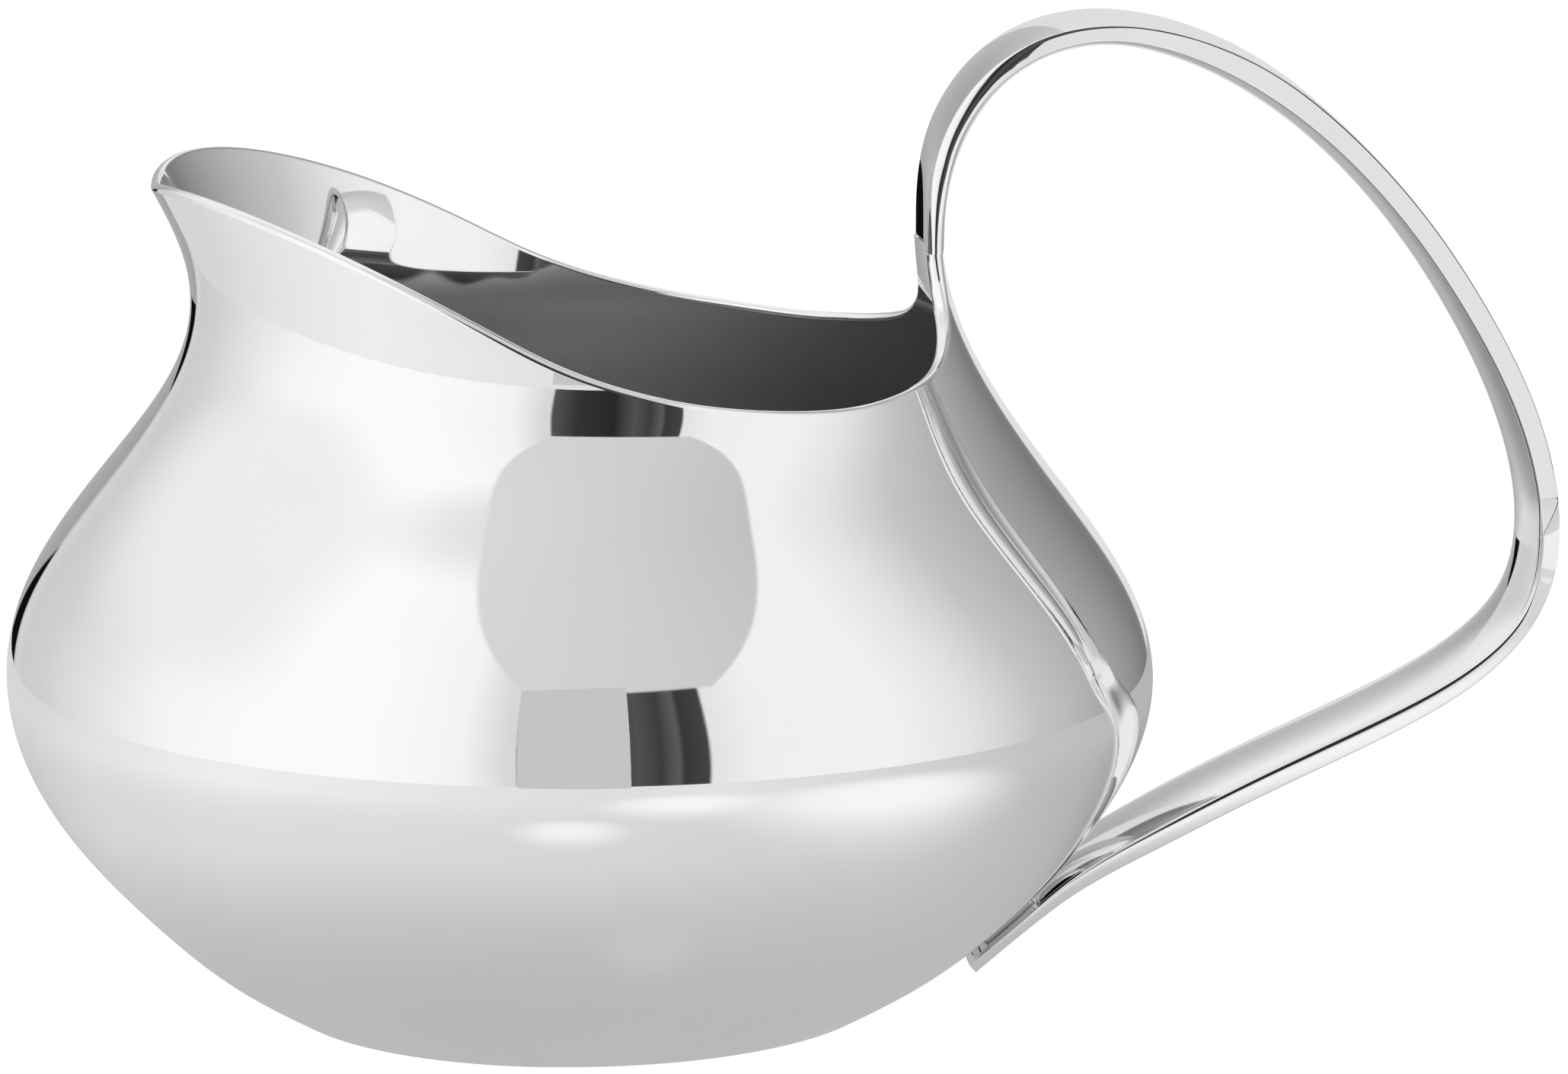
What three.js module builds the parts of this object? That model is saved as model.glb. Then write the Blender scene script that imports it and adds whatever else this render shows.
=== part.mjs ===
// Silver cream jug with a strap handle that grows out of the back of the rim.
// Millimetres, +Z up, spout towards -X, handle towards +X. The flat base is at z = 0.
import * as THREE from 'three';

// Driving dimensions
const WALL = 1.0;             // sheet thickness of the body
const GAP = 0.3;              // clearance left between neighbouring pieces
const SEAM_Z = 27;            // height of the joint between the two halves of the body
const TONGUE_TOP = 64;        // height at which the back of the rim becomes the handle
const TONGUE_HALF_ANGLE = 0.187;
const ROOT_THICKNESS = 1.35;  // thickness of the handle where it leaves the rim
const STRAP_HALF_WIDTH = 5.65;
const TIP_HALF_WIDTH = 4.9;   // half-width at the lower end of the handle
const CHANNEL_FLOOR = 0.25;   // sheet thickness of the handle's outer face
const CHANNEL_SIDE = 0.9;     // thickness of the channel's two sides
const STRIP_THICKNESS = 0.3;
const STRIP_INSET = 0.12;     // how far the closing strip sits below the channel's sides
const END_PLATE = 0.6;
const PAD_HALF_WIDTH = 3.6;

// Body outline at a few heights: reach towards the spout and the handle, half-width,
// and how much narrower the section is on the spout side
const LEVELS = [0, 2.5, 8, 17, 27, 36, 45, 55, 63, 71];
const FRONT = [-24.6, -28.8, -35.5, -43.4, -47.3, -45.8, -39.9, -32.8, -31.9, -35.4];
const BACK = [25.4, 29.8, 36.9, 44.6, 48.4, 46.0, 39.8, 33.3, 30.7, 30.4];
const HALF_WIDTH = [21.6, 25.3, 31.4, 38.3, 41.6, 39.9, 34.6, 28.4, 29.4, 30.6];
const NARROWING = [0, 0, 0, 0, 0, 0.01, 0.03, 0.05, 0.08, 0.1];

// Rim, from the handle round to the spout: angle at the seam, angle at the rim, height
const RIM = [
  [0.36, TONGUE_HALF_ANGLE, TONGUE_TOP], [0.42, 0.197, 62.6], [0.5, 0.222, 60.9],
  [0.6, 0.285, 58.9], [0.7, 0.39, 57.2], [0.82, 0.54, 55.8], [0.95, 0.74, 54.95],
  [1.1, 0.95, 54.75], [1.25, 1.17, 55.3], [1.45, 1.42, 56.7], [1.6, 1.6, 58.5],
  [1.8, 1.8, 61.6], [2.0, 2.0, 64.9], [2.2, 2.2, 67.6], [2.5, 2.5, 70.1],
  [2.8, 2.8, 70.6], [Math.PI, Math.PI, 69.9], [3.4832, 3.4832, 70.6],
];

// Handle, from the rim over the top and down to the foot: x and z of the outer face at its
// edges, depth of the sides, rise of the domed inner side, crown of the outer face
const HANDLE = [
  [29.35, TONGUE_TOP + GAP, 1.35, 0, 0],
  [29.4, 68.2, 1.35, 0.25, 0],
  [30.1, 73, 1.37, 0.85, 0.15],
  [32.7, 77.8, 1.4, 1.0, 0.3],
  [37.9, 81.6, 1.35, 0.95, 0.3],
  [44.1, 82.75, 1.3, 0.9, 0.3],
  [50.6, 81.7, 1.55, 0.9, 0.25],
  [57.2, 78.8, 1.8, 0.9, 0.15],
  [63.8, 73.7, 1.7, 0.9, 0.1],
  [70.7, 66.1, 1.64, 0.95, 0.1],
  [75.9, 58.3, 1.6, 1.05, 0.1],
  [79.8, 50.5, 1.55, 1.2, 0.1],
  [81.9, 42.6, 1.47, 1.2, 0.1],
  [82.0, 37.4, 1.4, 1.2, 0.15],
  [80.45, 32.6, 1.2, 1.2, 0.2],
  [76.4, 27.8, 1.2, 1.15, 0.25],
  [68.5, 22.85, 1.34, 1.0, 0.3],
  [57.9, 17.8, 1.38, 1.0, 0.3],
  [47.75, 12.7, 1.3, 0.85, 0.25],
  [41.45, 9.1, 1.1, 0.4, 0.15],
  [37.78, 6.26, 0.92, 0.08, 0.1],
  [33.82, 2.9, 0.92, 0.05, 0.1],
];
const PAD_FROM = 0.955;       // where the foot pad starts and ends along the handle
const PAD_TO = 0.99;

// Natural cubic spline through the points (xs, ys)
function spline(xs, ys) {
  const n = xs.length;
  const bend = new Array(n).fill(0);
  const u = new Array(n).fill(0);
  for (let i = 1; i < n - 1; i++) {
    const span = xs[i + 1] - xs[i - 1];
    const s = (xs[i] - xs[i - 1]) / span;
    const p = s * bend[i - 1] + 2;
    const after = (ys[i + 1] - ys[i]) / (xs[i + 1] - xs[i]);
    const before = (ys[i] - ys[i - 1]) / (xs[i] - xs[i - 1]);
    bend[i] = (s - 1) / p;
    u[i] = (6 * (after - before) / span - s * u[i - 1]) / p;
  }
  for (let i = n - 2; i > 0; i--) bend[i] = bend[i] * bend[i + 1] + u[i];
  return (x) => {
    let i = 0;
    while (i < n - 2 && x > xs[i + 1]) i++;
    const h = xs[i + 1] - xs[i];
    const a = (xs[i + 1] - x) / h;
    const b = 1 - a;
    const curve = ((a ** 3 - a) * bend[i] + (b ** 3 - b) * bend[i + 1]) * h * h / 6;
    return a * ys[i] + b * ys[i + 1] + curve;
  };
}

function smooth(x, from, to) {
  const t = Math.min(1, Math.max(0, (x - from) / (to - from)));
  return t * t * (3 - 2 * t);
}

// Body surface
const front = spline(LEVELS, FRONT);
const back = spline(LEVELS, BACK);
const halfWidth = spline(LEVELS, HALF_WIDTH);
const narrowing = spline(LEVELS, NARROWING);

function bodyPoint(angle, z) {
  const centre = (front(z) + back(z)) / 2;
  const reach = (back(z) - front(z)) / 2;
  const c = Math.cos(angle);
  const y = halfWidth(z) * Math.sin(angle) * (1 + narrowing(z) * c);
  return new THREE.Vector3(centre + reach * c, y, z);
}

function bodyNormal(angle, z) {
  const d = 0.02;
  const round = bodyPoint(angle + d, z).sub(bodyPoint(angle - d, z));
  const low = Math.max(0, z - d);
  const up = bodyPoint(angle, z + d).sub(bodyPoint(angle, low));
  return round.cross(up).normalize();
}

// The wall grows to the handle's thickness at the back of the rim
function wallAt(angle, z) {
  const nearBack = 1 - smooth(Math.abs(angle), 0.25, 0.8);
  return WALL + (ROOT_THICKNESS - WALL) * nearBack * smooth(z, 48, 62);
}

function innerPoint(angle, z) {
  const inward = bodyNormal(angle, z).multiplyScalar(-wallAt(angle, z));
  return bodyPoint(angle, z).add(inward);
}

// Joins rings of equal length into one closed surface. caps: triangles over a ring's points
function skin(name, rings, caps) {
  const n = rings[0].length;
  const points = rings.flat();
  const index = [];
  const last = caps ? rings.length - 1 : rings.length;
  for (let r = 0; r < last; r++) {
    const a = r * n;
    const b = ((r + 1) % rings.length) * n;
    for (let i = 0; i < n; i++) {
      const j = (i + 1) % n;
      index.push(a + i, a + j, b + j, a + i, b + j, b + i);
    }
  }
  if (caps) {
    const end = (rings.length - 1) * n;
    for (const [i, j, k] of caps) {
      index.push(k, j, i, end + i, end + j, end + k);
    }
  }
  const geometry = new THREE.BufferGeometry().setFromPoints(points);
  geometry.setIndex(index);
  geometry.computeVertexNormals();
  const material = new THREE.MeshStandardMaterial({ color: 0xd8d8da, metalness: 1, roughness: 0.08 });
  const mesh = new THREE.Mesh(geometry, material);
  mesh.name = name;
  return mesh;
}

// Triangles over a flat outline given as [u, v] pairs
function capOf(outline) {
  const flat = outline.map(([u, v]) => new THREE.Vector2(u, v));
  const triangles = THREE.ShapeUtils.triangulateShape(flat, []);
  if (THREE.ShapeUtils.isClockWise(flat)) return triangles.map(([i, j, k]) => [i, k, j]);
  return triangles;
}

function circleCap(n) {
  const triangles = [];
  for (let i = 1; i < n - 1; i++) triangles.push([0, i, i + 1]);
  return triangles;
}

// Lower half of the body: a bowl with a flat bottom
function lowerBowl() {
  const around = 72;
  const heights = [0, 0.8, 2.2, 4.5, 8, 12, 16.5, 21.5, SEAM_Z];
  const ring = (pointAt, z) => {
    const points = [];
    for (let i = 0; i < around; i++) points.push(pointAt(i * 2 * Math.PI / around, z));
    return points;
  };
  const outside = heights.map((z) => ring(bodyPoint, z));
  const inside = heights.map((z) => ring(innerPoint, z)).reverse();
  for (const p of inside[0]) p.z = SEAM_Z;
  for (const p of inside[inside.length - 1]) p.z = WALL * 0.9;
  return skin('lower_bowl', [...outside, ...inside], circleCap(around));
}

// Upper half: shoulder, neck, spout and the tongue at the back that leads into the handle
const rimAngle = spline(RIM.map((r) => r[0]), RIM.map((r) => r[1]));
const rimHeight = spline(RIM.map((r) => r[0]), RIM.map((r) => r[2]));
const CORNER = RIM[0][0];

function rimAt(s) {
  const side = Math.sign(s);
  const t = Math.abs(s);
  if (t <= CORNER) return [s * TONGUE_HALF_ANGLE / CORNER, TONGUE_TOP];
  return [side * rimAngle(t), rimHeight(t)];
}

function columns() {
  const half = [];
  for (let i = 1; i <= 3; i++) half.push(CORNER * i / 3);
  for (let i = 1; i <= 13; i++) half.push(CORNER + (1.25 - CORNER) * i / 13);
  for (let i = 1; i <= 19; i++) half.push(1.25 + (Math.PI - 1.25) * i / 20);
  return [...half.map((s) => -s).reverse(), 0, ...half, Math.PI];
}

function upperBody() {
  const rows = 14;
  const bottom = SEAM_Z + GAP;
  const ring = (pointAt, v) => columns().map((s) => {
    const [angle, height] = rimAt(s);
    return pointAt(s + (angle - s) * smooth(v, 0, 1), bottom + (height - bottom) * v);
  });
  const outside = [];
  const inside = [];
  for (let i = 0; i <= rows; i++) {
    outside.push(ring(bodyPoint, i / rows));
    inside.push(ring(innerPoint, i / rows));
  }
  for (const p of inside[0]) p.z = bottom;
  return skin('upper_body', [...outside, ...inside.reverse()], null);
}

// Handle path: outer face, with distance along it running from 0 to 1
const lengths = [0];
for (let i = 1; i < HANDLE.length; i++) {
  const step = Math.hypot(HANDLE[i][0] - HANDLE[i - 1][0], HANDLE[i][1] - HANDLE[i - 1][1]);
  lengths.push(lengths[i - 1] + step);
}
const HANDLE_LENGTH = lengths[lengths.length - 1];
const along = lengths.map((l) => l / HANDLE_LENGTH);
const pathX = spline(along, HANDLE.map((p) => p[0]));
const pathZ = spline(along, HANDLE.map((p) => p[1]));
const sideDepth = spline(along, HANDLE.map((p) => p[2]));
const dome = spline(along, HANDLE.map((p) => p[3]));
const crown = spline(along, HANDLE.map((p) => p[4]));

// A point of the handle: s along it, u across it, v from the outer face towards the hole
function handlePoint(s, u, v) {
  const d = 0.001;
  const dx = pathX(s + d) - pathX(s - d);
  const dz = pathZ(s + d) - pathZ(s - d);
  const size = Math.hypot(dx, dz);
  const bow = 0.55 * (u / STRAP_HALF_WIDTH) ** 2 * (1 - smooth(s, 0, 0.09));
  const depth = v - bow;
  return new THREE.Vector3(pathX(s) + depth * dz / size, -u, pathZ(s) - depth * dx / size);
}

function halfWidthAt(s) {
  return STRAP_HALF_WIDTH + (TIP_HALF_WIDTH - STRAP_HALF_WIDTH) * smooth(s, 0.86, 1);
}

function sweep(name, outlineAt, from, to, steps) {
  const rings = [];
  for (let i = 0; i <= steps; i++) {
    const s = from + (to - from) * i / steps;
    rings.push(outlineAt(s).map(([u, v]) => handlePoint(s, u, v)));
  }
  return skin(name, rings, capOf(outlineAt(from)));
}

// Depth of the handle's inner side at a distance u from its middle
function innerDepth(s, u) {
  return sideDepth(s) + dome(s) * (1 - (u / halfWidthAt(s)) ** 2);
}

function outerFace(s) {
  const w = halfWidthAt(s);
  const rise = crown(s);
  return [[-w, 0.25], [-w + 0.25, 0], [-w / 2, -0.75 * rise], [0, -rise], [w / 2, -0.75 * rise], [w - 0.25, 0], [w, 0.25]];
}

function channelOutline(s) {
  const w = halfWidthAt(s);
  const inner = w - CHANNEL_SIDE;
  const land = innerDepth(s, inner);
  const edge = innerDepth(s, w);
  const trough = [[inner, land], [inner, CHANNEL_FLOOR], [0, CHANNEL_FLOOR], [-inner, CHANNEL_FLOOR], [-inner, land]];
  return [[-w, edge], ...outerFace(s), [w, edge], ...trough];
}

function stripOutline(s) {
  const w = halfWidthAt(s) - CHANNEL_SIDE - GAP;
  const across = [-1, -0.6, -0.2, 0.2, 0.6, 1].map((k) => k * w);
  const top = across.map((u) => [u, innerDepth(s, u) - STRIP_INSET]);
  const bottom = across.map((u) => [u, innerDepth(s, u) - STRIP_INSET - STRIP_THICKNESS]);
  return [...bottom, ...top.reverse()];
}

function endOutline(s) {
  const w = halfWidthAt(s);
  const top = [1, 0.5, 0, -0.5, -1].map((k) => [k * w, innerDepth(s, k * w)]);
  return [...outerFace(s), ...top];
}

// Depth, measured from the handle's outer face, at which the body's surface is met
function depthOfBody(s, u) {
  let near = innerDepth(s, u);
  let far = near + 6;
  for (let i = 0; i < 30; i++) {
    const middle = (near + far) / 2;
    const p = handlePoint(s, u, middle);
    const outline = bodyPoint(Math.atan2(p.y / halfWidth(p.z), (p.x - centreAt(p.z)) / reachAt(p.z)), p.z);
    const inside = Math.hypot(p.x - centreAt(p.z), p.y) < Math.hypot(outline.x - centreAt(p.z), outline.y);
    if (inside) far = middle;
    else near = middle;
  }
  return near;
}

function centreAt(z) {
  return (front(z) + back(z)) / 2;
}

function reachAt(z) {
  return (back(z) - front(z)) / 2;
}

// Solder pad between the body and the end of the handle
function footPad() {
  const across = [-1, -0.5, 0, 0.5, 1].map((k) => k * PAD_HALF_WIDTH);
  const rings = [];
  for (let i = 0; i <= 6; i++) {
    const s = PAD_FROM + (PAD_TO - PAD_FROM) * i / 6;
    const low = across.map((u) => handlePoint(s, u, innerDepth(s, u) + GAP - 0.05));
    const high = across.map((u) => handlePoint(s, u, depthOfBody(s, u) - GAP));
    rings.push([...low, ...high.reverse()]);
  }
  const outline = [...across.map((u) => [u, 0]), ...across.map((u) => [u, 1]).reverse()];
  return skin('handle_foot_pad', rings, capOf(outline));
}

const endStart = 1 + GAP / HANDLE_LENGTH;
const jug = new THREE.Group();
jug.name = 'cream_jug';
jug.add(lowerBowl());
jug.add(upperBody());
jug.add(sweep('handle_channel', channelOutline, 0, 1, 72));
jug.add(sweep('handle_closing_strip', stripOutline, 0.002, 0.998, 72));
jug.add(sweep('handle_end_plate', endOutline, endStart, endStart + END_PLATE / HANDLE_LENGTH, 1));
jug.add(footPad());

export default jug;
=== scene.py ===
import math

import bpy
import numpy as np
from mathutils import Matrix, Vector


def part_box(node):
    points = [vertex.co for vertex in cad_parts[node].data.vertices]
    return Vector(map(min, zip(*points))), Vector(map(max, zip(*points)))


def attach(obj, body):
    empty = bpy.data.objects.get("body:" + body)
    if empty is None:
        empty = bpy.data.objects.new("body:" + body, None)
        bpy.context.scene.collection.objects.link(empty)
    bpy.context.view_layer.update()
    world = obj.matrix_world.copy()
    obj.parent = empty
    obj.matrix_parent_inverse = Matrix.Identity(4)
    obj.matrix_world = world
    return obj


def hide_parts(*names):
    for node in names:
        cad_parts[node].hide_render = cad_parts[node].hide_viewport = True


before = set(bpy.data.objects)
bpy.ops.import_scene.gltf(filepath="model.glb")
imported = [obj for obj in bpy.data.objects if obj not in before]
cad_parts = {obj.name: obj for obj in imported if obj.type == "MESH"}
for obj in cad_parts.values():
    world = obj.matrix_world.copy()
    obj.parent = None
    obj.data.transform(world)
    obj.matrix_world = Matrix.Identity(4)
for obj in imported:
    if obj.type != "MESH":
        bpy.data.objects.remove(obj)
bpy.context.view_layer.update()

# ---------------------------------------------------------------- dimensions
# Millimetres, as in the CAD source. Everything is divided by 1000 when a mesh is made.
MM = 0.001
SEAM_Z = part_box("lower_bowl")[1][2] / MM
WALL = 1.0
ROOT_THICKNESS = 1.35         # wall of the tongue that runs up into the handle
THICKER_ANGLES = (0.25, 0.8)  # angles from the handle over which the wall thins down again
THICKER_HEIGHTS = (48, 62)    # heights over which it grows
TONGUE_TOP = 64.0
TONGUE_HALF_ANGLE = 0.182     # radians, as all angles round the body
CORNER = 0.36                 # column at which the top of the tongue meets its side edge
FILLET_END = 1.25             # the columns of the rim are close together up to here
RIM_RADIUS = 30.0             # mean radius of the rim, used to offset its edge
RIM_ROUND = 0.42              # edge radius of the rim
ROOT_ROUND = 0.6              # edge radius where the rim becomes the handle
TINY = 1e-6                   # difference below which two columns are the same
STRAP_HALF_WIDTH = 5.65
TIP_HALF_WIDTH = 4.9
ROOT_BOW = 0.55               # how far the strap's edges wrap back at the root
ROOT_TILT = 0.19              # tilt of the strap's rounded edge at the root
LAND = 0.46                   # flat beside the groove of the closing strip
ROOT_LAND = 0.25              # how much wider that flat is at the root
GROOVE = 0.2                  # width of that groove, which closes on the lower half
CLOSED_GROOVE = 0.002
STRIP_THICKNESS = 0.3
CHANNEL_FLOOR = 0.25
TROUGH_MIDDLE = 0.4           # last point of the trough's floor before its middle
END_PLATE = 0.6
PAD_HALF_WIDTH = 3.6
PAD_FROM, PAD_TO = 0.955, 0.99
TOUCH = 0.02                  # small step between faces that meet
FULLER_DOME = 0.22            # how much squarer the dome is along the lower leg
INNER_SIDE = 0.7              # share of the depth beyond which the edge of the strip is looked for

SATIN_TOP = 57.2              # height below which the inside is satin, not polished, and darkened by painted shade
SATIN_BLUR = 0.5
PAINTED_SHADE_GROWS = (-12, 28)       # x over which the painted shade inside grows darker, towards the handle
FAINT_SATIN = 0.12            # satin value at which the metal is already fully matt

BASE_CENTRE = np.array([0.4, 0, 0])
FLOOR_CENTRE = BASE_CENTRE + [0, 0, WALL]
FLAT_RINGS = [0.8, 0.55, 0.3]  # rings of the flat base and floor, as shares of their size

# Numbers of points and rows: only the smoothness of the meshes depends on them
BOWL_COLUMNS, BOWL_ROWS = 360, 70
BEND_WEIGHT = 1.2             # millimetres of outline that a bend of one radian counts for
BOWL_CROWDING = 1.4           # rows are closer together near the base
UPPER_ROWS = 110
LIP_STEPS = 7
SIDE_POINTS, DOME_POINTS, OUTLINE_POINTS = 60, 90, 1024
CHANNEL_POINTS, STRIP_POINTS, PLATE_POINTS = 70, 30, 90
STRAP_ROWS, PLATE_ROWS, PAD_ROWS, PAD_POINTS = 420, 4, 14, 11

# Body: heights, then at each height the x of its front and back, half of its width, and
# how much it narrows towards the spout
LEVELS = [0, 2.5, 8, 17, 27, 36, 45, 55, 63, 71]
FRONT = [-24.6, -28.8, -35.5, -43.4, -47.3, -45.8, -39.9, -32.8, -31.9, -35.4]
BACK = [25.4, 29.8, 36.9, 44.6, 48.4, 46.0, 39.8, 33.3, 30.7, 30.4]
HALF_WIDTH = [21.6, 25.3, 31.4, 38.3, 41.6, 39.9, 34.6, 28.4, 29.4, 30.6]
NARROWING = [0, 0, 0, 0, 0, 0.01, 0.03, 0.05, 0.08, 0.1]

# Rim: angle at the seam, angle at the rim, height
RIM = np.array([
    [0.36, TONGUE_HALF_ANGLE, TONGUE_TOP], [0.42, 0.197, 62.6], [0.5, 0.222, 60.9],
    [0.6, 0.285, 58.9], [0.7, 0.39, 57.2], [0.82, 0.54, 55.8], [0.95, 0.74, 54.95],
    [1.1, 0.95, 54.75], [1.25, 1.17, 55.3], [1.45, 1.42, 56.7], [1.6, 1.6, 58.5],
    [1.8, 1.8, 61.6], [2.0, 2.0, 64.9], [2.2, 2.2, 67.6], [2.5, 2.5, 70.1],
    [2.8, 2.8, 70.6], [math.pi, math.pi, 69.9], [3.4832, 3.4832, 70.6],
])

# Handle: x and z of the outer face at its edges, depth of the sides, rise of the domed
# inner side, crown of the outer face
HANDLE = np.array([
    [29.35, 64, 1.35, 0, 0],
    [29.4, 68.2, 1.35, 0.25, 0],
    [30.1, 73, 1.37, 0.85, 0.15],
    [32.7, 77.8, 1.4, 1.0, 0.3],
    [37.9, 81.6, 1.35, 0.95, 0.3],
    [44.1, 82.75, 1.3, 0.9, 0.3],
    [50.6, 81.7, 1.55, 0.9, 0.25],
    [57.2, 78.8, 1.8, 0.9, 0.15],
    [63.8, 73.7, 1.7, 0.9, 0.1],
    [70.7, 66.1, 1.64, 0.95, 0.1],
    [75.9, 58.3, 1.6, 1.05, 0.1],
    [79.8, 50.5, 1.55, 1.2, 0.1],
    [81.9, 42.6, 1.47, 1.2, 0.1],
    [82.0, 37.4, 1.4, 1.2, 0.15],
    [80.45, 32.6, 1.2, 1.2, 0.2],
    [76.4, 27.8, 1.35, 1.05, 0.25],
    [68.5, 22.85, 1.62, 0.82, 0.3],
    [57.9, 17.8, 1.68, 0.8, 0.3],
    [47.75, 12.7, 1.55, 0.7, 0.25],
    [41.45, 9.1, 1.2, 0.33, 0.15],
    [37.78, 6.26, 0.92, 0.08, 0.1],
    [33.82, 2.9, 0.92, 0.05, 0.1],
])

# Sides of the handle, by share of its length: the widest line as a share of the side's depth,
# lean of the side above and below that line, softness of the line, rounding of all edges
SIDES = np.array([
    [0, 0.55, 0.0, 0.0, 0.3, 0.1],
    [0.05, 0.58, 0.36, 0.2, 0.2, 0.12],
    [0.08, 0.5, 0.36, 0.2, 0.25, 0.12],
    [0.1, 0.38, 0.36, 0.2, 0.3, 0.12],
    [0.12, 0.15, 0.36, 0.2, 0.35, 0.1],
    [0.14, -0.1, 0.36, 0.21, 0.3, 0.06],
    [0.2, -0.1, 0.36, 0.21, 0.2, 0.05],
    [0.55, -0.1, 0.3, 0.21, 0.2, 0.05],
    [0.565, -0.1, 0.3, 0.21, 0.01, 0.02],
    [0.585, 1.02, 0.16, 0.25, 0.01, 0.02],
    [0.61, 1.02, 0.15, 0.3, 0.03, 0.03],
    [0.64, 0.95, 0.15, 0.4, 0.4, 0.08],
    [0.66, 0.94, 0.15, 0.45, 0.45, 0.09],
    [0.75, 0.9, 0.15, 0.44, 0.6, 0.09],
    [0.88, 0.9, 0.15, 0.44, 0.6, 0.09],
    [0.95, 0.88, 0.15, 0.45, 0.45, 0.09],
    [1.0, 0.8, 0.2, 0.2, 0.3, 0.1],
])


# ---------------------------------------------------------------- curves
class Spline:
    """Natural cubic spline, evaluated on arrays."""

    def __init__(self, xs, ys):
        self.x = np.array(xs, float)
        self.y = np.array(ys, float)
        n = len(self.x)
        h = np.diff(self.x)
        system = np.eye(n)
        right = np.zeros(n)
        for i in range(1, n - 1):
            system[i, i - 1:i + 2] = h[i - 1], 2 * (h[i - 1] + h[i]), h[i]
            slope = (self.y[i + 1] - self.y[i]) / h[i] - (self.y[i] - self.y[i - 1]) / h[i - 1]
            right[i] = 6 * slope
        self.bend = np.linalg.solve(system, right)

    def __call__(self, x):
        i = np.clip(np.searchsorted(self.x, x) - 1, 0, len(self.x) - 2)
        h = self.x[i + 1] - self.x[i]
        a = (self.x[i + 1] - x) / h
        b = 1 - a
        curve = ((a ** 3 - a) * self.bend[i] + (b ** 3 - b) * self.bend[i + 1]) * h * h / 6
        return a * self.y[i] + b * self.y[i + 1] + curve


def smooth(x, start, end):
    """0 up to the start, 1 from the end on, and a soft change between them."""
    t = np.clip((x - start) / (end - start), 0, 1)
    return t * t * (3 - 2 * t)


def unit(v):
    return v / np.maximum(np.linalg.norm(v, axis=-1, keepdims=True), 1e-12)


front = Spline(LEVELS, FRONT)
back = Spline(LEVELS, BACK)
half_width = Spline(LEVELS, HALF_WIDTH)
narrowing = Spline(LEVELS, NARROWING)


def across_at(z):
    """Centre and half length of the body at a height."""
    return (front(z) + back(z)) / 2, (back(z) - front(z)) / 2


def body_point(angle, z):
    """Point of the outer surface; the angle is 0 at the handle and pi at the spout."""
    centre, reach = across_at(z)
    c = np.cos(angle)
    y = half_width(z) * np.sin(angle) * (1 + narrowing(z) * c)
    return np.stack([centre + reach * c, y, z + 0 * c], -1)


def body_normal(angle, z):
    nudge = 0.01
    around = body_point(angle + nudge, z) - body_point(angle - nudge, z)
    up = body_point(angle, z + nudge) - body_point(angle, z - nudge)
    return unit(np.cross(around, up))


def wall_at(angle, z):
    """Wall thickness of the upper body, which grows towards the handle's root."""
    near_back = 1 - smooth(np.abs(angle), *THICKER_ANGLES)
    return WALL + (ROOT_THICKNESS - WALL) * near_back * smooth(z, *THICKER_HEIGHTS)


# ---------------------------------------------------------------- meshes
def make_mesh(name, points, faces, normals, satin_and_shade=None):
    """satin_and_shade: how matt the metal is at each point, and how far painted shade darkens its
    colour; 0 for a full polish.
    """
    mesh = bpy.data.meshes.new(name)
    mesh.from_pydata((points * MM).tolist(), [], faces)
    mesh.polygons.foreach_set("use_smooth", [True] * len(mesh.polygons))
    if normals is not None:
        mesh.normals_split_custom_set_from_vertices(unit(normals).tolist())
    satin_and_shade_attribute = mesh.attributes.new("satin_and_shade", "FLOAT", "POINT")
    if satin_and_shade is not None:
        satin_and_shade_attribute.data.foreach_set("value", satin_and_shade)
    mesh.validate()
    piece = bpy.data.objects.new(name, mesh)
    bpy.context.scene.collection.objects.link(piece)
    return piece


def grid_faces(rows, columns, close_rows=False):
    """Quads between closed rows of points; each row has the same number of columns."""
    faces = []
    for r in range(rows if close_rows else rows - 1):
        low = r * columns
        high = ((r + 1) % rows) * columns
        for c in range(columns):
            d = (c + 1) % columns
            faces.append((low + c, low + d, high + d, high + c))
    return faces


def tube_faces(rings, size):
    """Faces of a tube made of rings of points, with a flat face over each end."""
    faces = grid_faces(rings, size)
    faces.append(tuple(range(size))[::-1])
    faces.append(tuple(range((rings - 1) * size, rings * size)))
    return faces


def finish_piece(piece, material, slot, *nodes):
    piece.data.materials.clear()
    piece.data.materials.append(material)
    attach(piece, "root")
    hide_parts(*nodes)
    return piece


def satin_and_shade_inside(points):
    """Satin below a slightly wavy line, with painted shade that grows darker towards the handle."""
    x, y, z = np.moveaxis(points, -1, 0)
    wave = 0.5 * np.sin(x * 0.42 + 1.0) + 0.25 * np.sin(x * 1.1 + y * 0.3)
    below = 1 - smooth(z - wave, SATIN_TOP - SATIN_BLUR, SATIN_TOP + SATIN_BLUR)
    return below * (FAINT_SATIN + (1 - FAINT_SATIN) * smooth(x, *PAINTED_SHADE_GROWS))


# ---------------------------------------------------------------- body
def shrink(ring, centre, shares):
    """Copies of a ring of points, drawn in towards a centre."""
    return [centre + (ring - centre) * share for share in shares]


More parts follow.
